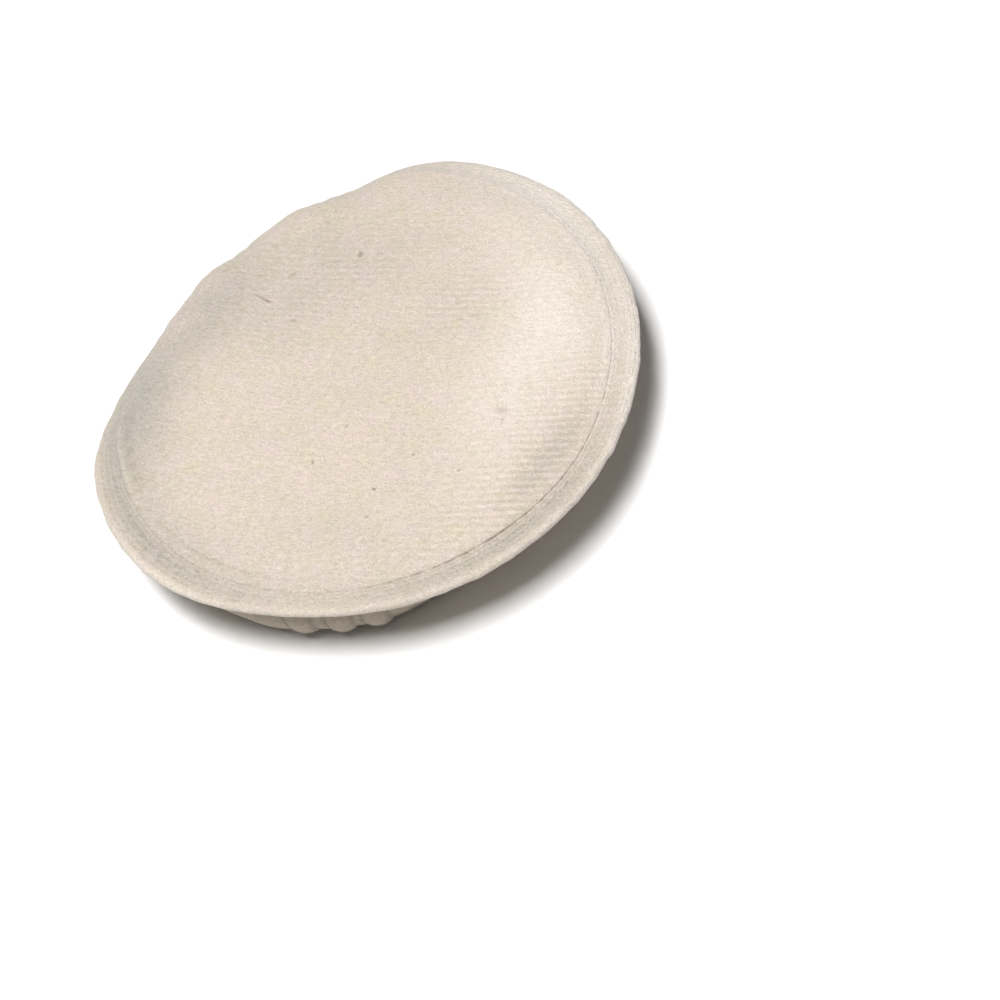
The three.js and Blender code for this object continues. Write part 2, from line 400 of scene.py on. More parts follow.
class HatShape:
    """Where the cloth lies, worked out from the sizes."""

    steps = 150

    def __init__(self, sizes):
        self.sizes = sizes
        self.edge = sizes.crown_radius
        self.stack = sizes.crown_thickness + sizes.gap + sizes.underside_thickness
        self.crown_height = sizes.roll_height + sizes.gap + self.stack
        self.bend_start = sizes.roll_radius - 1.5 * MM
        self.bend_end = 0.94 * self.edge
        self.cloth_end = self.edge - sizes.edge_diameter - sizes.gap
        self.tucked = self.cloth_end + TUCK_IN
        self.roll_middle_height = sizes.roll_height / 2
        flat_angle = math.acos(sizes.roll_flat / sizes.roll_width)
        self.roll_lower_height = self.roll_middle_height / math.sin(flat_angle)

    def seam(self, azimuth):
        """Distance along the cloth from the crown's centre to its seam."""
        return self.edge - round_table(MARGIN, "width", azimuth) * MM

    def row(self, azimuth, share):
        """Distance along the cloth to a row of stitching."""
        seam = self.seam(azimuth)
        return seam + share * (self.edge - seam)

    def roll_middle(self, azimuth):
        """Distance of the roll's middle line from the crown's centre."""
        angle = np.radians(azimuth)
        shift = ROLL_SHIFT[0] * np.cos(angle) + ROLL_SHIFT[1] * np.sin(angle)
        pressed = bell(turn_between(ROLL_DENT["azimuth"], azimuth) / ROLL_DENT["width"])
        shift = shift - ROLL_DENT["deep"] * MM * pressed
        return self.sizes.roll_radius + shift + ROLL_OVAL * np.sin(2 * angle)

    def rest_height(self, azimuth, radius):
        """Height of the crown where it would rest on the roll, with the layers between them."""
        clear = self.stack + self.sizes.gap
        across = (radius - self.roll_middle(azimuth)) / (self.sizes.roll_width / 2 + clear)
        lift = np.sqrt(np.maximum(0, 1 - across**2))
        return self.roll_middle_height + (self.roll_middle_height + clear) * lift

    def fold_lift(self, azimuth, along):
        """Height of the soft folds of the margin."""
        overhang = self.edge - self.bend_start
        return overhang * ridges(FOLDS, azimuth, (along - self.bend_start) / overhang)

    def profile(self, azimuths):
        """Radius and height of the crown's upper face, a row for each azimuth, at equal steps along."""
        azimuth = azimuths[:, None]
        along = np.linspace(0, self.edge, self.steps + 1)
        middle = (along[1:] + along[:-1]) / 2
        slope = np.radians(round_table(DRAPE, "slope", azimuth))
        slope = slope * smooth_share(middle, self.bend_start, self.bend_end)
        step = along[1] * round_table(DRAPE, "reach", azimuth)

        def summed(share):
            return np.cumsum(np.pad(share * step, ((0, 0), (1, 0))), axis=1)

        radius = summed(np.cos(slope))
        height = self.crown_height - summed(np.sin(slope)) + self.fold_lift(azimuth, along)
        return radius, np.maximum(height, self.rest_height(azimuth, radius))

    def on_cloth(self, profile, along, depth):
        """Radius and height of points at distances along the cloth and depths under its upper face."""
        radius, height = profile
        run = np.gradient(radius, axis=1)
        fall = np.gradient(height, axis=1)
        size = np.hypot(run, fall)
        along = np.broadcast_to(along, (len(radius), np.shape(along)[-1]))
        place = np.clip(along / self.edge, 0, 1) * self.steps
        first = np.minimum(place.astype(int), self.steps - 1)

        def at(values):
            here = np.take_along_axis(values, first, 1)
            after = np.take_along_axis(values, first + 1, 1)
            return here + (after - here) * (place - first)

        return at(radius) + at(fall / size) * depth, at(height) - at(run / size) * depth

    def on_roll(self, azimuth, turn, out):
        """Radius and height on the roll, with a turn round its section from the outer side over the top."""
        half = np.where(turn > math.pi, self.roll_lower_height, self.roll_middle_height)
        radius = self.roll_middle(azimuth) + (self.sizes.roll_width / 2 + out) * np.cos(turn)
        height = np.maximum(0, self.roll_middle_height + (half + out) * np.sin(turn))
        return np.broadcast_arrays(radius, height)

    def centre(self):
        """The crown's centre, from the solid edge's box."""
        azimuths = np.arange(0, 360, 1.0)
        radius, _ = self.on_cloth(self.profile(azimuths), [self.edge], self.stack / 2)
        x, y = round_place(azimuths, radius[:, 0])
        box_middle = (EDGE_BOX[0] + EDGE_BOX[1]) / 2
        return Vector((box_middle.x - (x.min() + x.max()) / 2, box_middle.y - (y.min() + y.max()) / 2, 0))


def turned_mesh(name, shape, azimuths, section, uv, closed, **attributes):
    """A mesh swept round the crown's centre.

    section is the radius and height of each column's points, uv has one more column and, on a closed
    section, one more row, so that its seams lie apart. An open section starts and ends on the axis.
    """
    radius, height = section
    columns, rows = radius.shape
    centre = shape.centre()
    x, y = round_place(azimuths[:, None], radius)
    points = np.stack([centre.x + x, centre.y + y, height], -1)
    spans = rows if closed else rows - 1
    column, row = np.meshgrid(np.arange(columns), np.arange(spans), indexing="ij")
    corners = [(0, 0), (1, 0), (1, 1), (0, 1)]
    faces = [((column + a) % columns) * rows + (row + b) % rows for a, b in corners]
    places = [((column + a), (row + b)) for a, b in corners]
    mesh = bpy.data.meshes.new(name)
    mesh.from_pydata(points.reshape(-1, 3).tolist(), [], np.stack(faces, -1).reshape(-1, 4).tolist())
    layer = mesh.uv_layers.new(name="cloth")
    flat = np.stack([np.stack([u[place] for u in uv], -1) for place in places], 2)
    layer.data.foreach_set("uv", flat.reshape(-1).astype(np.float32))
    for key, values in attributes.items():
        kept = mesh.attributes.new(key, "FLOAT", "POINT")
        kept.data.foreach_set("value", np.broadcast_to(values, radius.shape).reshape(-1).astype(np.float32))
    return close_up(mesh)


def close_up(mesh):
    """Merges doubled points, points the faces outwards and shades them smooth."""
    work = bmesh.new()
    work.from_mesh(mesh)
    bmesh.ops.remove_doubles(work, verts=work.verts, dist=SAME_PLACE)
    bmesh.ops.recalc_face_normals(work, faces=work.faces)
    for face in work.faces:
        face.smooth = True
    work.to_mesh(mesh)
    work.free()
    return mesh


def add_object(name, data):
    """An object in the scene."""
    made = bpy.data.objects.new(name, data)
    bpy.context.scene.collection.objects.link(made)
    return made


def add_piece(mesh, node, slot, *materials):
    """Makes the piece's object, which stands for a solid of the model where one is named."""
    piece = add_object(mesh.name, mesh)
    for material in materials:
        mesh.materials.append(material)
    if node:
        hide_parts(node)
    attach(piece, "root")
    return piece


def flush(shape, along):
    """How far a cloth rises at its sewn end, to lie flush with the rounded edge."""
    return 0.5 * MM * smooth_share(along, shape.edge - 9 * MM, shape.edge - 4 * MM)


def crease_lift(shape, azimuth, along):
    """Height of the creases beside the crown's seam."""
    return MM * ridges(CREASES, azimuth, (shape.seam(azimuth) - along) / MM)


def crown_relief(shape, azimuth, along):
    """How far the crown's worked face stands out of its plain cloth."""
    x, y = round_place(azimuth, along)
    ring = round_place(azimuth, shape.edge)
    from_seam = along - shape.seam(azimuth)

    # Swells of the whole cloth, which end short of the crown's middle and of its edge
    relief = 0.45 * MM * ripple(75 * MM, x, y, seed=3) + 0.22 * MM * ripple(30 * MM, x, y, seed=8)
    relief = relief * smooth_share(along, 0, 30 * MM)
    relief = relief * (1 - smooth_share(along, shape.edge - 18 * MM, shape.cloth_end))

    # Puckers beside the seam, its groove, the swell inside it and the hollow outside it
    relief += 0.14 * MM * ripple(13 * MM, *ring, seed=5) * band(from_seam, -2, 7)
    sunk = round_table(MARGIN, "seam", azimuth) * (1 + 0.35 * ripple(9 * MM, *ring, seed=6))
    relief -= 0.45 * MM * sunk * band(from_seam, 0, 0.5)
    relief += 0.35 * MM * band(from_seam, -3.2, 2.4)
    relief -= 0.55 * MM * band(from_seam, 4.2, 3.8)
    pulled = round_table(MARGIN, "pulled", azimuth)
    relief -= 0.30 * MM * pulled * stitched(shape, azimuth, along, 0.55)
    return relief + crease_lift(shape, azimuth, along) + flush(shape, along)


def crown_rows(shape, azimuth, end):
    """Distances along the cloth of the mesh's rows, close together where the seam is pulled in."""
    seam = shape.seam(azimuth)
    near, close = 12 * MM, 1.6 * MM
    rows = [
        (seam - near) * np.linspace(0, 1, 46)[:-1],
        seam + np.linspace(-near, -close, 19)[:-1],
        seam + np.linspace(-close, close, 17)[:-1],
        seam + close + (end - seam - close) * np.linspace(0, 1, 34),
    ]
    return np.concatenate(rows, axis=1)


def laid_cloth(sizes):
    """The hat's shape, the crown's azimuths in a row and in a column, and its profile at each of them."""
    shape = HatShape(sizes)
    azimuths = np.arange(0, 360, CLOTH_STEP)
    return shape, azimuths, azimuths[:, None], shape.profile(azimuths)


def joined(first, second):
    """A section that runs along one row of points and then along another."""
    return [np.concatenate([a, b], axis=1) for a, b in zip(first, second)]


def disc_uv(azimuths, along):
    """Where points lie on the flat cloth, with the first azimuth again at the end."""
    return round_place(np.append(azimuths, 360)[:, None], np.concatenate([along, along[:1]]))


def strip_uv(azimuths, radius, width, rows):
    """Where points lie on a flat strip that goes round the hat, closed by a last azimuth and row."""
    around = np.radians(np.append(azimuths, azimuths[0] + 360))[:, None] * radius
    return np.broadcast_arrays(around, np.linspace(0, math.pi * width, rows + 1))


def full_turn(rows):
    """Equal turns round a closed section, in radians."""
    return np.linspace(0, 2 * math.pi, rows + 1)[:-1]


def make_crown(sizes, colours):
    """The crown's top cloth, with its seam, its rows of stitching and its soft unevenness."""
    shape, azimuths, azimuth, profile = laid_cloth(sizes)
    upper = crown_rows(shape, azimuth, shape.tucked)
    lower = np.linspace(shape.tucked, 0, 24) + 0 * azimuth
    rise = shape.on_cloth(profile, upper, -crown_relief(shape, azimuth, upper))
    under = shape.on_cloth(profile, lower, sizes.crown_thickness)
    along = np.concatenate([upper, lower], axis=1)
    # The mesh carries the painted light and shade, how far its ribs show, its faded margin and the painted
    # shade in its grooves
    shown = dict(tone=cloth_light_and_shade(shape, azimuth, along), ribbed=rib_show(azimuth, along))
    shown |= dict(faded=margin_fade(shape, azimuth, along), groove_shade=painted_groove_shade(shape, azimuth, along))
    uv = disc_uv(azimuths, along)
    mesh = turned_mesh("crown_wool", shape, azimuths, joined(rise, under), uv, False, **shown)
    crown = add_piece(mesh, "crown_top", "wool_crown", wool_crown_material(sizes, colours))


def make_edge(sizes, colours):
    """The rounded edge, where the crown and the underside are turned together and sewn."""
    shape, azimuths, azimuth, profile = laid_cloth(sizes)
    half = sizes.edge_diameter / 2
    turn = full_turn(EDGE_ROWS)
    ring = round_place(azimuth, sizes.crown_radius + half * np.cos(turn))
    radius = half + 0.16 * MM * ripple(11 * MM, *ring, half * np.sin(turn), seed=21)
    along = sizes.crown_radius - half + radius * np.cos(turn)
    out, height = shape.on_cloth(profile, along, shape.stack / 2 - radius * np.sin(turn))
    out = out + np.maximum(0, along - sizes.crown_radius)
    uv = strip_uv(azimuths, sizes.crown_radius, sizes.edge_diameter, EDGE_ROWS)
    # The edge carries the painted light and shade and its faded margin
    shown = dict(tone=cloth_light_and_shade(shape, azimuth, along), faded=margin_fade(shape, azimuth, along))
    mesh = turned_mesh("edge_wool", shape, azimuths, (out, height), uv, True, **shown)
    add_piece(mesh, "edge_welt", "wool_edge", wool_edge_material(sizes, colours))


def make_underside(sizes, colours):
    """The cloth under the overhanging margin, from over the roll to the edge."""
    shape, azimuths, azimuth, profile = laid_cloth(sizes)
    lap = shape.roll_middle(azimuths) - 4 * MM
    steps = np.linspace(0, sizes.crown_radius, shape.steps + 1)
    start = np.array([[np.interp(end, radius, steps)] for end, radius in zip(lap, profile[0])])
    upper = start + (shape.tucked - start) * np.linspace(0, 1, 48)
    lower = upper[:, ::-1]
    relief = 0.12 * MM * ripple(22 * MM, *round_place(azimuth, lower), seed=31) + flush(shape, lower)
    relief -= 0.2 * MM * stitched(shape, azimuth, lower, 0.6)
    top = shape.on_cloth(profile, upper, sizes.crown_thickness + sizes.gap)
    bottom = shape.on_cloth(profile, lower, shape.stack + relief)
    uv = disc_uv(azimuths, np.concatenate([upper, lower, upper[:, :1]], axis=1))
    mesh = turned_mesh("margin_wool", shape, azimuths, joined(top, bottom), uv, True)
    underside = add_piece(mesh, "crown_underside", "wool_crown", wool_underside_material(sizes, colours))


def roll_seams(sizes):
    """Azimuth, width and height of each tuck of the roll, and of its plain join."""
    spacing = math.degrees(sizes.tuck_spacing / sizes.roll_radius)
    seams = [(PLAIN_JOIN, JOIN_WIDTH, JOIN_HEIGHT)]
    for station in SEAM_STATIONS:
        if station != PLAIN_JOIN:
            seams += [(station + tuck * spacing, sizes.tuck_width, sizes.tuck_height) for tuck in (-1, 0, 1)]
    return seams


def tuck_spans(shape, azimuth, turn):
    """How far points on the roll are across each tuck or join, with its width there and its height."""
    radius, rise = shape.on_roll(azimuth, turn, 0)
    place = (*round_place(azimuth, radius), rise)
    for middle, width, height in roll_seams(shape.sizes):
        wander = 0.5 * MM * ripple(30 * MM, *place, seed=int(middle))
        across = np.radians(turn_between(middle, azimuth)) * shape.roll_middle(azimuth) + wander
        yield across, width * (1 + 2.5 * smooth_share(np.cos(turn), 0, 0.8)), height


def painted_tuck_shade(shape, azimuth, turn):
    """How much painted shade darkens the grooves beside the roll's tucks, from 0 to 1."""
    groove_shade = 0
    for across, spread, _ in tuck_spans(shape, azimuth, turn):
        groove_shade = groove_shade + band(np.abs(across) - spread / 2, 0.5, 1.4)
    return np.clip(0.4 * groove_shade, 0, 0.6)


def roll_relief(shape, azimuth, turn):
    """How far the roll's cloth stands out: tucks, the grooves beside them, and lumps of the winding."""
    radius, height = shape.on_roll(azimuth, turn, 0)
    place = (*round_place(azimuth, radius), height)
    lumps = 0.7 * MM * ripple(70 * MM, *place, seed=41) + 0.25 * MM * ripple(26 * MM, *place, seed=42)
    tucks = 0
    for across, spread, height in tuck_spans(shape, azimuth, turn):
        share = np.clip(2 * across / spread, -1, 1)
        cord = 0.7 * np.sqrt(np.maximum(0, 1 - share**2)) + 0.3 * np.cos(share * math.pi / 2) ** 2
        groove = band(np.abs(across) - spread / 2, 0.3, 0.7)
        tucks = tucks + height * cord - 0.3 * MM * groove
    outside = 1 - smooth_share(turn, math.radians(25), math.radians(70))
    inside = smooth_share(turn, math.radians(190), math.radians(215))
    shown = np.where(turn < math.pi, outside, inside)
    covered = smooth_share(turn, math.radians(40), math.radians(80))
    covered = covered * (1 - smooth_share(turn, math.radians(185), math.radians(205)))
    return tucks * shown + lumps * (1 - covered) - 0.3 * MM * covered


def pressed_grooves(shape, azimuth, turn):
    """Height of the grooves beside the tucks where the roll rests on them and they are pressed flat."""
    under = smooth_share(-np.sin(turn), 0.8, 0.95)
    grooves = 0
    for middle, width, _ in roll_seams(shape.sizes):
        across = np.radians(turn_between(middle, azimuth)) * shape.roll_middle(azimuth)
        grooves = grooves + band(np.abs(across) - width / 2, 0.4, 0.6)
    return 0.8 * MM * grooves * under


def make_roll(sizes, colours):
    """The thick rolled band, with its groups of tucks and its plain join."""
    shape = HatShape(sizes)

    # A column of points each degree, and more of them across each tuck
    close = np.arange(-3.8, 3.81, 0.2)
    at_seams = [PLAIN_JOIN + (seam[0] + close - PLAIN_JOIN) % 360 for seam in roll_seams(sizes)]
    azimuths = np.concatenate([PLAIN_JOIN + np.arange(0, 360, 1.0), *at_seams])
    azimuths = np.unique(np.round(azimuths, 2))
    azimuths = azimuths[np.append(True, np.diff(azimuths) > 0.05)]
    azimuth = azimuths[:, None]

    turn = full_turn(ROLL_ROWS)
    radius, height = shape.on_roll(azimuth, turn, roll_relief(shape, azimuth, turn))
    section = (radius, height + pressed_grooves(shape, azimuth, turn))
    uv = strip_uv(azimuths, sizes.roll_radius, sizes.roll_width, ROLL_ROWS)
    # Painted shade on the roll's outer side, under the overhanging margin, and in the grooves beside its
    # tucks
    shown = dict(tone=-0.28 * smooth_share(np.cos(turn), 0, 0.6), groove_shade=painted_tuck_shade(shape, azimuth, turn))
    mesh = turned_mesh("roll_wool", shape, azimuths, section, uv, True, **shown)
    roll = add_piece(mesh, "rolled_band", "wool_roll", wool_roll_material(sizes, colours))


def lining_slack(x, y, share):
    """How far the slack cotton hangs under the crown, with creases that run in from its edge."""
    angle = np.arctan2(y, x)
    sag = 0.8 * MM + 0.5 * MM * ripple(45 * MM, x, y, seed=51)
    creases = np.abs(np.sin(angle * 7 + 2.5 * ripple(60 * MM, x, y, seed=52))) ** 6
    return sag * (1 - share**4) + 1.1 * MM * creases * share * smooth_share(1 - share, 0, 0.1)


def make_lining(sizes, colours):
    """The white cotton inside the head hollow, slack and creased."""
    shape = HatShape(sizes)
    azimuths = np.arange(0, 360, 1.0)
    azimuth = azimuths[:, None]
    top = shape.crown_height - sizes.crown_thickness - sizes.gap
    turns = np.linspace(math.radians(182), math.radians(131), 16)[None]
    bend = np.linspace(0, 1, 12)[None, 1:]
    inward = np.linspace(1, 0, 46)[None, 1:]

    def face(out, height, slack):
        """Up the roll's inner side, over a bend and in to the middle, from the last point to the first."""
        radius, rise = shape.on_roll(azimuth, turns, out)
        end, end_height = radius[:, -1:], rise[:, -1:]
        flat_end = end - 12 * MM
        rounded = end + (flat_end - end) * bend**2
        rounded_height = end_height + (height - end_height) * (2 * bend - bend**2)
        flat = flat_end * inward
        hang = height - slack * lining_slack(*round_place(azimuth, flat), inward)
        return np.concatenate([radius, rounded, flat], 1), np.concatenate([rise, rounded_height, hang], 1)

    outer = face(sizes.gap, top, 0.0)
    inner = face(sizes.gap + sizes.lining_thickness, top - sizes.lining_thickness, 1.0)
    section = joined([part[:, ::-1] for part in inner], outer)
    half_width = 0.125
    span = half_width * np.abs(np.linspace(-1, 1, section[0].shape[1])[::-1])
    uv = round_place(np.append(azimuths, 360)[:, None], span[None])
    mesh = turned_mesh("lining_cotton", shape, azimuths, section, uv, False)
    lining = add_piece(mesh, "lining", "cotton_lining", cotton_lining_material(colours))


def plug(tree, node, inputs):
    """Gives each named or numbered input of a node a socket to follow or a value."""
    for key, value in inputs.items():
        if isinstance(value, bpy.types.NodeSocket):
            tree.links.new(value, node.inputs[key])
        else:
            node.inputs[key].default_value = value


def add_node(tree, kind, inputs=None, **settings):
    """A node with its settings and its inputs."""
    node = tree.nodes.new(kind)
    for name, value in settings.items():
        setattr(node, name, value)
    plug(tree, node, inputs or {})
    return node


def output(tree, kind, inputs=None, out=0, **settings):
    """The output, by its name or number, of a new node."""
    return add_node(tree, kind, inputs, **settings).outputs[out]


def compute(tree, operation, *values):
    """The result of one operation on sockets and numbers."""
    return output(tree, "ShaderNodeMath", dict(enumerate(values)), operation=operation)


def ranged(tree, value, start, end, low=0.0, high=1.0, **settings):
    """A value brought from one range to another and held at its ends."""
    inputs = {"Value": value, "From Min": start, "From Max": end, "To Min": low, "To Max": high}
    return output(tree, "ShaderNodeMapRange", inputs, **settings)


def new_tree(name, **kinds):
    """An empty geometry tree with a mesh going in and out and the named inputs: the tree and its two ends."""
    tree = bpy.data.node_groups.new(name, "GeometryNodeTree")
    for label, kind in {"Geometry": "Geometry", **kinds}.items():
        tree.interface.new_socket(label, in_out="INPUT", socket_type="NodeSocket" + kind)
    tree.interface.new_socket("Geometry", in_out="OUTPUT", socket_type="NodeSocketGeometry")
    return tree, add_node(tree, "NodeGroupInput").outputs, add_node(tree, "NodeGroupOutput")


def end_tree(tree, end, mesh, material):
    """Gives the mesh its material and sends it out of the tree."""
    dressed = output(tree, "GeometryNodeSetMaterial", {"Geometry": mesh, "Material": material})
    plug(tree, end, {"Geometry": dressed})


def stitch_tree():
    """Lays one stitch after another along the guide lines."""
    tree, given, end = new_tree("Machine stitches", Pitch="Float", Thread="Float", Material="Material")
    line = output(tree, "GeometryNodeMeshToCurve", {"Mesh": given["Geometry"]})
    spaced = {"Curve": line, "Length": given["Pitch"]}
    spaced = output(tree, "GeometryNodeResampleCurve", spaced, mode="LENGTH")
    tangent = output(tree, "GeometryNodeInputTangent")
    upward = {"Name": "up"}
    upward = output(tree, "GeometryNodeInputNamedAttribute", upward, "Attribute", data_type="FLOAT_VECTOR")
    along = output(tree, "FunctionNodeAlignRotationToVector", {"Vector": tangent}, axis="X")
    upright = {"Rotation": along, "Vector": upward}
    upright = output(tree, "FunctionNodeAlignRotationToVector", upright, axis="Z", pivot_axis="X")
    stitch = output(tree, "GeometryNodeMeshUVSphere", {"Segments": 8, "Rings": 6, "Radius": 0.5})
    reach = compute(tree, "MULTIPLY", given["Pitch"], 0.82)
    size = output(tree, "ShaderNodeCombineXYZ", {"X": reach, "Y": given["Thread"], "Z": given["Thread"]})
    placed = {"Points": spaced, "Instance": stitch, "Rotation": upright, "Scale": size}
    placed = output(tree, "GeometryNodeInstanceOnPoints", placed)
    real = output(tree, "GeometryNodeRealizeInstances", {"Geometry": placed})
    smooth = output(tree, "GeometryNodeSetShadeSmooth", {"Geometry": real})
    end_tree(tree, end, smooth, given["Material"])
    return tree


def fuzz_tree():
    """Scatters bent, tapering fibres over a surface, leaning every way, but none where it meets the floor."""
    kinds = dict(Density="Float", Length="Float", Thickness="Float", Seed="Int", Material="Material")
    tree, given, end = new_tree("Loose wool fibres", **kinds)
    scattered = {"Mesh": given["Geometry"], "Density": given["Density"], "Seed": given["Seed"]}
    scattered = add_node(tree, "GeometryNodeDistributePointsOnFaces", scattered)
    place = output(tree, "GeometryNodeInputPosition")
    height = output(tree, "ShaderNodeSeparateXYZ", {0: place}, "Z")
    low = output(tree, "FunctionNodeCompare", {0: height, 1: FIBRES_FROM}, operation="LESS_THAN")
    kept = {"Geometry": scattered.outputs["Points"], "Selection": low}
    kept = output(tree, "GeometryNodeDeleteGeometry", kept)

    # One fibre, a unit long
    bow = {"Resolution": 4, "Start": (0, 0, -0.05), "Middle": (0.15, 0, 0.55), "End": (0.75, 0.1, 0.75)}
    bow = output(tree, "GeometryNodeCurveQuadraticBezier", bow)
    taper = ranged(tree, output(tree, "GeometryNodeSplineParameter"), 0.0, 1.0, 1.0, 0.35)
    thick = compute(tree, "MULTIPLY", compute(tree, "DIVIDE", given["Thickness"], given["Length"]), taper)
    section = output(tree, "GeometryNodeCurvePrimitiveCircle", {"Resolution": 3, "Radius": 0.5})
    fibre = {"Curve": bow, "Profile Curve": section, "Scale": thick, "Fill Caps": True}
    fibre = output(tree, "GeometryNodeCurveToMesh", fibre)

    # Each fibre leans, turns and is long in its own way
    spin = {"Min": (-0.5, -0.5, -math.pi), "Max": (0.5, 0.5, math.pi), "Seed": given["Seed"]}
    spin = output(tree, "FunctionNodeRandomValue", spin, "Value", data_type="FLOAT_VECTOR")
    turned = {"Rotation": scattered.outputs["Rotation"], "Rotate By": spin}
    turned = output(tree, "FunctionNodeRotateRotation", turned, rotation_space="LOCAL")
    stretch = {"Min": 0.4, "Max": 1.3}
    stretch = output(tree, "FunctionNodeRandomValue", stretch, "Value", data_type="FLOAT")
    size = compute(tree, "MULTIPLY", stretch, given["Length"])
    placed = {"Points": kept, "Instance": fibre, "Rotation": turned, "Scale": size}
    placed = output(tree, "GeometryNodeInstanceOnPoints", placed)
    real = output(tree, "GeometryNodeRealizeInstances", {"Geometry": placed})
    end_tree(tree, end, real, given["Material"])
    return tree


def grown(name, mesh, tree, **values):
    """The plain mesh that a geometry tree makes of a mesh."""
    seedbed = add_object(name + "_guide", mesh)
    growth = seedbed.modifiers.new(name, "NODES")
    growth.node_group = tree
    for item in tree.interface.items_tree:
        if item.in_out == "INPUT" and item.name in values:
            growth[item.identifier] = values[item.name]
    evaluated = seedbed.evaluated_get(bpy.context.evaluated_depsgraph_get())
    made = bpy.data.meshes.new_from_object(evaluated)
    made.name = name
    bpy.data.objects.remove(seedbed)
    return made


def guide_lines(sizes, rows):
    """Lines round the crown for the stitches. rows gives each line's share of the margin, depth and face."""
    shape, azimuths, azimuth, profile = laid_cloth(sizes)
    centre = shape.centre()
    columns = len(azimuths)
    places, ways, edges = [], [], []
    for share, depth, on_top in rows:
        along = shape.row(azimuth, share)
        if on_top:
            depth = depth - crown_relief(shape, azimuth, along)
        radius, height = shape.on_cloth(profile, along, depth)
        above = shape.on_cloth(profile, along, depth - 1 * MM)
        x, y = round_place(azimuth, radius)
        places.append(np.concatenate([centre.x + x, centre.y + y, height], 1))
        x, y = round_place(azimuth, above[0] - radius)
        ways.append(np.concatenate([x, y, above[1] - height], 1))
        first = len(edges)
        edges += [(first + k, first + (k + 1) % columns) for k in range(columns)]
    mesh = bpy.data.meshes.new("stitch_lines")
    mesh.from_pydata(np.concatenate(places).tolist(), edges, [])
    upward = mesh.attributes.new("up", "FLOAT_VECTOR", "POINT")
    upward.data.foreach_set("vector", np.concatenate(ways).astype(np.float32).reshape(-1))
    return mesh


def make_stitches(sizes, colours):
    """Machine stitches: rows on both faces of the margin, and the seam on its lower face."""
    sunk = 0.32 * sizes.thread_diameter
    below = HatShape(sizes).stack + sunk
    rows = [(share, sunk, True) for share in STITCH_ROWS]
    rows += [(share, below, False) for share in (0, *STITCH_ROWS)]
    values = dict(Pitch=sizes.stitch_pitch, Thread=sizes.thread_diameter, Material=thread_material(colours))
    mesh = grown("margin_stitches", guide_lines(sizes, rows), stitch_tree(), **values)
    add_piece(mesh, None, "wool_edge")


def make_fuzz(sizes, colours):
    """Loose fibres on the wool pieces."""
    parts = ("crown", "edge", "roll")
    cloths = [bpy.data.objects[part + "_wool"].data for part in parts]
    density = sizes.fuzz_count / sum(face.area for cloth in cloths for face in cloth.polygons)
    values = dict(Density=density, Length=sizes.fuzz_length, Thickness=sizes.fuzz_thickness)
    values |= dict(Material=fibre_material(colours))
    tree = fuzz_tree()
    for seed, (part, cloth) in enumerate(zip(parts, cloths), start=61):
        fuzz = grown(part + "_fuzz", cloth.copy(), tree, Seed=seed, **values)
        add_piece(fuzz, None, "wool_" + part)


def surface(name):
    """A new material, its tree and its shader."""
    material = bpy.data.materials.new(name)
    material.use_nodes = True
    tree = material.node_tree
    tree.nodes.clear()
    shader = add_node(tree, "ShaderNodeBsdfPrincipled")
    add_node(tree, "ShaderNodeOutputMaterial", {"Surface": shader.outputs["BSDF"]})
    return material, tree, shader


def noise(tree, place, size, detail=2.0, roughness=0.5):
    """Soft unevenness from 0 to 1, in patches of a size in metres."""
    inputs = {"Vector": place, "Scale": 1 / size, "Detail": detail, "Roughness": roughness}
    return output(tree, "ShaderNodeTexNoise", inputs)


def on_object(tree):
    """The place on the piece, in metres."""
    return output(tree, "ShaderNodeTexCoord", out="Object")


def on_flat_cloth(tree):
    """The place on the flat cloth, in metres."""
    return output(tree, "ShaderNodeUVMap", out="UV", uv_map="cloth")


def carried(tree, name):
    """A number that the mesh carries at each point."""
    return output(tree, "ShaderNodeAttribute", out="Fac", attribute_name=name)


def laid_over(tree, share, under, colour):
    """A colour laid over another by a share from 0 to 1."""
    inputs = {"Factor": share, "A": under, "B": (*colour, 1)}
    return output(tree, "ShaderNodeMix", inputs, "Result", data_type="RGBA")


def shaded(tree, colour, light):
    """A colour made lighter or darker."""
    return output(tree, "ShaderNodeVectorMath", {0: colour, "Scale": light}, operation="SCALE")


def twill_ribs(tree, cloth, pitch, turn, bow):
    """Height of the twill's ribs, from -1 to 1, and the place along and across them in metres."""
    turned = {"Vector": cloth, "Rotation": (0, 0, math.radians(turn))}
    turned = output(tree, "ShaderNodeMapping", turned)
    east, north, _ = add_node(tree, "ShaderNodeSeparateXYZ", {0: turned}).outputs
    arched = compute(tree, "MULTIPLY_ADD", compute(tree, "MULTIPLY", east, east), bow, north)
    wander = compute(tree, "MULTIPLY_ADD", noise(tree, cloth, 9 * MM), 0.45 * pitch, arched)
    rib = compute(tree, "SINE", compute(tree, "MULTIPLY", wander, 2 * math.pi / pitch))
    return rib, output(tree, "ShaderNodeCombineXYZ", {0: east, 1: arched})


def add_spots(tree, cloth, under, spot_colour):
    """The colour with each dark spot laid over it."""
    shown = under
    for spot in SPOTS:
        centred = {0: cloth, 1: (spot["x"] * MM, spot["y"] * MM, 0)}
        centred = output(tree, "ShaderNodeVectorMath", centred, operation="SUBTRACT")
        turned = {"Vector": centred, "Rotation": (0, 0, math.radians(-spot["turn"]))}
        turned = output(tree, "ShaderNodeMapping", turned)
        reach = {0: turned, 1: (2 / (spot["long"] * MM), 2 / (spot["wide"] * MM), 0)}
        reach = output(tree, "ShaderNodeVectorMath", reach, operation="MULTIPLY")
        away = output(tree, "ShaderNodeVectorMath", {0: reach}, "Value", operation="LENGTH")
        strength = ranged(tree, away, 0.2, 1.4, spot["strength"], 0.0, interpolation_type="SMOOTHSTEP")
        shown = laid_over(tree, strength, shown, spot_colour)
    return shown


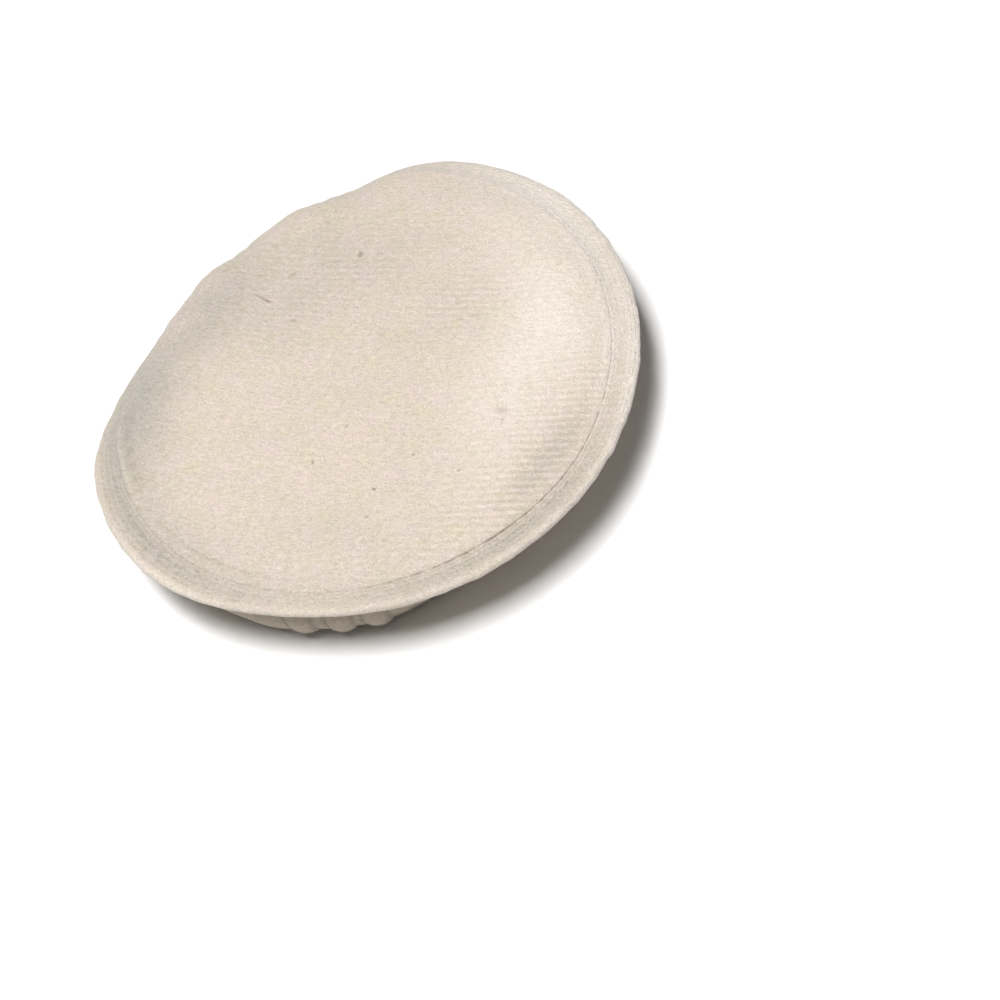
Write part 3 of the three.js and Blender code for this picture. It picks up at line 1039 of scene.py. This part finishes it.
def wool_layers(name, sizes, colours, shade_and_fading_colour, ribs, rib_height):
    """What every wool cloth of the hat shares: its mottled colour and its height, in metres."""
    material, tree, shader = surface(name)
    place = on_object(tree)
    rib, along_ribs = twill_ribs(tree, on_flat_cloth(tree), sizes.twill_pitch, *ribs)

    # Broad blotches, tufts of hair, single curls, and small pale knots of wool
    blotch = noise(tree, place, 11 * MM, detail=3.0, roughness=0.6)
    tuft = noise(tree, place, 3.2 * MM, detail=1.0)
    curl = noise(tree, place, 1.1 * MM, roughness=0.75)
    knot = ranged(tree, noise(tree, place, 0.9 * MM, detail=0.0), 0.62, 0.8)

    # Short combed streaks that follow the ribs
    combed = {"Vector": along_ribs, "Scale": (1 / (4.5 * MM), 1 / (1.3 * MM), 1)}
    streak = noise(tree, output(tree, "ShaderNodeMapping", combed), 1.0, roughness=0.6)

    # The ribs come and go along their length, and show only where the nap is worn
    broken = ranged(tree, streak, 0.35, 0.6, 0.25, 1.0)
    worn = compute(tree, "MULTIPLY_ADD", carried(tree, "ribbed"), 0.9, 0.1)
    ridge = compute(tree, "MULTIPLY", rib, compute(tree, "MULTIPLY", worn, broken))

    # The wool is yellower and pinker by patches, and pinker on the ridges
    pink = ranged(tree, compute(tree, "MULTIPLY_ADD", ridge, 0.12, blotch), 0.30, 0.70)
    wool = laid_over(tree, pink, (*colours.wool_warm, 1), colours.wool_rose)

    # Painted shade and the faded margin grey the cloth unevenly, painted light makes it lighter and less
    # yellow, and painted shade darkens the grooves most
    patch = carried(tree, "tone")
    shade_and_fading = ranged(tree, patch, 0.0, -0.25)
    shade_and_fading = compute(tree, "MULTIPLY", shade_and_fading, ranged(tree, tuft, 0.3, 0.7, 0.5, 1.0))
    shade_and_fading = compute(tree, "MAXIMUM", shade_and_fading, carried(tree, "faded"))
    wool = laid_over(tree, shade_and_fading, wool, shade_and_fading_colour)
    wool = laid_over(tree, ranged(tree, patch, 0.0, 0.3), wool, colours.wool_painted_light)
    wool = laid_over(tree, carried(tree, "groove_shade"), wool, colours.spot)

    # Brightness: the painted light and shade first, then the wool's grain
    light = 1.0
    for source, middle, weight in (
        (patch, 0.0, 1.0),
        (curl, 0.5, 0.6),
        (tuft, 0.5, 0.16),
        (streak, 0.5, 0.4),
        (blotch, 0.5, 0.1),
        (knot, 0.0, 0.16),
        (ridge, 0.0, 0.12),
    ):
        light = compute(tree, "MULTIPLY_ADD", compute(tree, "SUBTRACT", source, middle), weight, light)

    height = 0.0
    for source, deep in (
        (curl, 0.8 * MM),
        (tuft, 0.5 * MM),
        (streak, 0.3 * MM),
        (blotch, 0.8 * MM),
        (ridge, rib_height),
    ):
        height = compute(tree, "MULTIPLY_ADD", source, deep, height)
    return material, tree, shader, shaded(tree, wool, light), height


def dress(tree, shader, colour_socket, height, roughness, sheen):
    """Joins a cloth's colour and height to its shader."""
    bump = output(tree, "ShaderNodeBump", {"Height": height, "Strength": 1.0, "Distance": 1.0})
    finish = {"Base Color": colour_socket, "Normal": bump, "Roughness": roughness}
    finish |= {"Sheen Weight": sheen, "Sheen Roughness": 0.6, "Specular IOR Level": 0.2}
    plug(tree, shader, finish)


def wool_crown_material(sizes, colours):
    """Fulled wool twill. The felted nap scatters light, so it looks soft and matt, with faint ribs."""
    name = "Fulled wool twill, crown"
    layers = wool_layers(name, sizes, colours, colours.wool_grey, CROWN_RIBS, rib_height=0.10 * MM)
    material, tree, shader, colour_socket, height = layers
    spotted = add_spots(tree, on_flat_cloth(tree), colour_socket, colours.spot)
    dress(tree, shader, spotted, height, roughness=0.92, sheen=0.3)
    return material


def wool_edge_material(sizes, colours):
    """Fulled wool turned in at the edge. Pulled tight there, it shows fine ticks across it."""
    name = "Fulled wool twill, turned edge"
    material, *parts = wool_layers(name, sizes, colours, colours.wool_grey, EDGE_RIBS, rib_height=0.05 * MM)
    dress(*parts, roughness=0.92, sheen=0.3)
    return material


def wool_underside_material(sizes, colours):
    """Fulled wool twill out of the light and little worn, so its nap is whole and its ribs are faint."""
    name = "Fulled wool twill, margin's underside"
    material, *parts = wool_layers(name, sizes, colours, colours.wool_grey, CROWN_RIBS, rib_height=0.04 * MM)
    dress(*parts, roughness=0.94, sheen=0.25)
    return material


def wool_roll_material(sizes, colours):
    """Fulled wool twill rolled up on itself. Its ribs run slantwise round the roll."""
    name = "Fulled wool twill, roll"
    material, *parts = wool_layers(name, sizes, colours, colours.wool_roll_shade, ROLL_RIBS, rib_height=0.10 * MM)
    dress(*parts, roughness=0.92, sheen=0.3)
    return material


def cotton_lining_material(colours):
    """Plain-woven cotton. Its threads are finer than the view shows, so they are drawn 0.6 mm apart."""
    material, tree, shader = surface("Plain-woven cotton, lining")
    place = on_object(tree)
    spacing = 0.6 * MM
    threads = {"Vector": place, "Scale": [2 * math.pi / spacing] * 3}
    threads = output(tree, "ShaderNodeMapping", threads)
    east, north, _ = add_node(tree, "ShaderNodeSeparateXYZ", {0: threads}).outputs
    weave = compute(tree, "MULTIPLY", compute(tree, "SINE", east), compute(tree, "SINE", north))
    crinkle = noise(tree, place, 9 * MM, detail=4.0, roughness=0.55)
    light = compute(tree, "MULTIPLY_ADD", weave, 0.012, ranged(tree, crinkle, 0.3, 0.7, 0.96, 1.02))
    relief = compute(tree, "MULTIPLY", weave, 0.03 * MM)
    height = compute(tree, "MULTIPLY_ADD", crinkle, 1.1 * MM, relief)
    cotton = shaded(tree, tuple(colours.cotton), light)
    dress(tree, shader, cotton, height, roughness=0.85, sheen=0.1)
    return material


def thread_material(colours):
    """Spun cotton sewing thread, duller and smoother than the wool round it."""
    material, tree, shader = surface("Spun cotton thread")
    place = on_object(tree)
    light = ranged(tree, noise(tree, place, 14 * MM), 0.3, 0.7, 0.82, 1.05)
    twist = compute(tree, "MULTIPLY", noise(tree, place, 0.5 * MM), 0.05 * MM)
    thread = shaded(tree, tuple(colours.thread), light)
    dress(tree, shader, thread, twist, roughness=0.7, sheen=0.1)
    return material


def fibre_material(colours):
    """Loose undyed wool hair, a little lighter than the cloth under it."""
    material, tree, shader = surface("Undyed wool hair")
    pink = noise(tree, on_object(tree), 6 * MM)
    hair = laid_over(tree, pink, (*colours.wool_warm, 1), colours.wool_rose)
    plug(tree, shader, {"Base Color": hair, "Roughness": 0.75, "Sheen Weight": 0.3})
    return material


def floor_material(colours):
    """Matt white paper, which is plain and pale and shows only a soft shadow."""
    material, tree, shader = surface("Matt white paper")
    plug(tree, shader, {"Base Color": (*colours.floor, 1), "Roughness": 1.0, "Specular IOR Level": 0.1})
    return material


def add_light(name, place, aim, long, wide, power):
    """An oblong area light that faces a point."""
    light = bpy.data.lights.new(name, "AREA")
    light.shape = "RECTANGLE"
    light.size = long
    light.size_y = wide
    light.energy = power
    lamp = add_object(name, light)
    lamp.location = place
    lamp.visible_camera = False
    lamp.rotation_euler = (Vector(place) - Vector(aim)).to_track_quat("Z", "Y").to_euler()


def add_camera(eye, aim, lean):
    """The camera, which looks from one point to another and leans by an angle."""
    back = (eye - aim).normalized()
    level = Vector((0, 0, 1)).cross(back).normalized()
    above = back.cross(level)
    right = level * math.cos(lean) + above * math.sin(lean)
    up = above * math.cos(lean) - level * math.sin(lean)
    camera_data = bpy.data.cameras.new("Camera")
    camera_data.lens = 72
    camera_data.sensor_width = 36
    camera_data.clip_start = 0.01
    camera = add_object("Camera", camera_data)
    view = Matrix((right, up, back)).transposed().to_4x4()
    view.translation = eye
    camera.matrix_world = view
    bpy.context.scene.camera = camera


def make_stage(sizes, colours):
    """A plain pale floor, soft light and the camera."""
    scene = bpy.context.scene
    half = 4.0
    drop = -0.1 * MM
    corners = [(-half, -half, drop), (half, -half, drop), (half, half, drop), (-half, half, drop)]
    mesh = bpy.data.meshes.new("floor")
    mesh.from_pydata(corners, [], [(0, 1, 2, 3)])
    mesh.materials.append(floor_material(colours))
    add_object("floor", mesh)

    world = bpy.data.worlds.new("Soft white room")
    world.use_nodes = True
    plug(world.node_tree, world.node_tree.nodes["Background"], {"Color": (1, 1, 1, 1), "Strength": 0.1})
    scene.world = world
    scene.view_settings.view_transform = "Standard"

    middle = HatShape(sizes).centre()
    front = middle + Vector((0, -0.27, 0))
    add_light("Top light", front + Vector((-0.25, 0, 1.75)), front, long=0.85, wide=0.5, power=39.6)
    add_camera(middle + Vector(EYE) * MM, middle + Vector(AIM) * MM, math.radians(LEAN))


def chosen(context):
    """The sizes and the colours that are set."""
    return context.scene.pakol_sizes, context.scene.pakol_colours


class PAKOL_OT_crown(bpy.types.Operator):
    """Make the crown's top cloth"""

    bl_idname = "pakol.crown"
    bl_label = "Crown"

    def execute(self, context):
        make_crown(*chosen(context))
        return {"FINISHED"}


class PAKOL_OT_edge(bpy.types.Operator):
    """Make the crown's rounded edge"""

    bl_idname = "pakol.edge"
    bl_label = "Edge"

    def execute(self, context):
        make_edge(*chosen(context))
        return {"FINISHED"}


class PAKOL_OT_underside(bpy.types.Operator):
    """Make the cloth under the margin"""

    bl_idname = "pakol.underside"
    bl_label = "Underside"

    def execute(self, context):
        make_underside(*chosen(context))
        return {"FINISHED"}


class PAKOL_OT_roll(bpy.types.Operator):
    """Make the rolled band with its tucks"""

    bl_idname = "pakol.roll"
    bl_label = "Roll"

    def execute(self, context):
        make_roll(*chosen(context))
        return {"FINISHED"}


class PAKOL_OT_lining(bpy.types.Operator):
    """Make the cotton lining"""

    bl_idname = "pakol.lining"
    bl_label = "Lining"

    def execute(self, context):
        make_lining(*chosen(context))
        return {"FINISHED"}


class PAKOL_OT_stitches(bpy.types.Operator):
    """Sew the rows of stitches"""

    bl_idname = "pakol.stitches"
    bl_label = "Stitches"

    def execute(self, context):
        make_stitches(*chosen(context))
        return {"FINISHED"}


class PAKOL_OT_fuzz(bpy.types.Operator):
    """Grow the loose fibres"""

    bl_idname = "pakol.fuzz"
    bl_label = "Fuzz"

    def execute(self, context):
        make_fuzz(*chosen(context))
        return {"FINISHED"}


class PAKOL_OT_stage(bpy.types.Operator):
    """Make the floor, the light and the camera"""

    bl_idname = "pakol.stage"
    bl_label = "Stage"

    def execute(self, context):
        make_stage(*chosen(context))
        return {"FINISHED"}


OPERATORS = [
    PAKOL_OT_stage,
    PAKOL_OT_roll,
    PAKOL_OT_crown,
    PAKOL_OT_edge,
    PAKOL_OT_underside,
    PAKOL_OT_lining,
    PAKOL_OT_stitches,
    PAKOL_OT_fuzz,
]


class PAKOL_PT_panel(bpy.types.Panel):
    """The hat's sizes, colours and pieces."""

    bl_idname = "PAKOL_PT_panel"
    bl_label = "Pakol"
    bl_space_type = "VIEW_3D"
    bl_region_type = "UI"
    bl_category = "Pakol"

    def draw(self, context):
        for group in chosen(context):
            for name in type(group).__annotations__:
                self.layout.prop(group, name)
        for operator in OPERATORS:
            self.layout.operator(operator.bl_idname)


CLASSES = [PakolSizes, PakolColours, *OPERATORS, PAKOL_PT_panel]


def register():
    for cls in CLASSES:
        bpy.utils.register_class(cls)
    bpy.types.Scene.pakol_sizes = PointerProperty(type=PakolSizes)
    bpy.types.Scene.pakol_colours = PointerProperty(type=PakolColours)


def unregister():
    del bpy.types.Scene.pakol_colours
    del bpy.types.Scene.pakol_sizes
    for cls in reversed(CLASSES):
        bpy.utils.unregister_class(cls)


def main():
    """Makes the whole hat and its stage."""
    register()
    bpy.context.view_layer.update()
    for operator in OPERATORS:
        group, name = operator.bl_idname.split(".")
        getattr(getattr(bpy.ops, group), name)()


if __name__ == "__main__":
    main()
